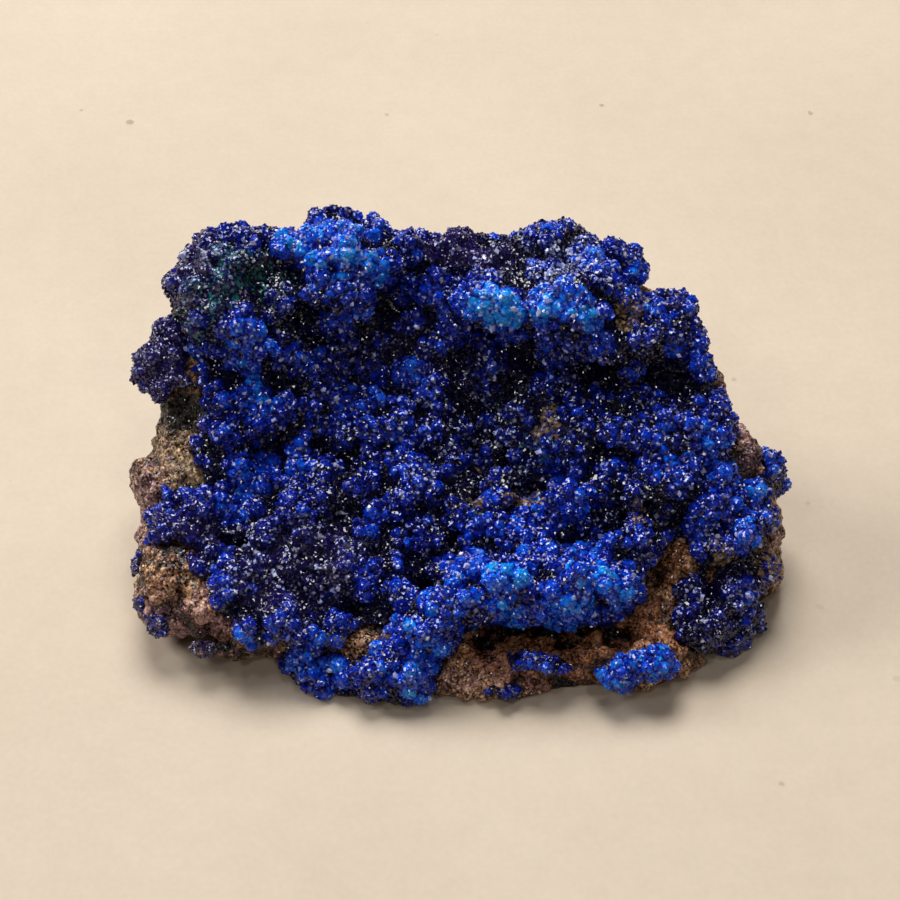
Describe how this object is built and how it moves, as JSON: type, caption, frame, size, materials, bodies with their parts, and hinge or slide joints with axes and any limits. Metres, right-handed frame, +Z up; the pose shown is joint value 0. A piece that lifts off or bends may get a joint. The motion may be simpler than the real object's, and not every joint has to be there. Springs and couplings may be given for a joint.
{
  "type": "azurite specimen",
  "caption": "Hand specimen of azurite: a sparkling dark to bright blue crystal druse over a lump of brown granular iron-oxide rock, lying on a flat broken base",
  "frame": {"origin": "on the table plane, under the middle of the whole specimen", "axes": "+X to the right along the longest extent, +Y to the back, +Z up; the display face looks to the front and up, 45 degrees above level"},
  "size_m": [0.091, 0.0596, 0.043],
  "materials": {
    "iron_oxide_rock": "rough granular",
    "azurite": "glassy crystal faces",
    "violet_azurite": "glassy crystal faces",
    "bright_azurite": "glassy crystal faces"
  },
  "bodies": {
    "root": {"matrix": "iron_oxide_rock", "main_druse": "azurite", "left_lobe_druse": "violet_azurite", "left_edge_streak": "violet_azurite", "rim_patch": "violet_azurite", "ledge_patch": "bright_azurite", "lower_rim_patch": "azurite", "foot_cluster": "bright_azurite"}
  },
  "joints": []
}
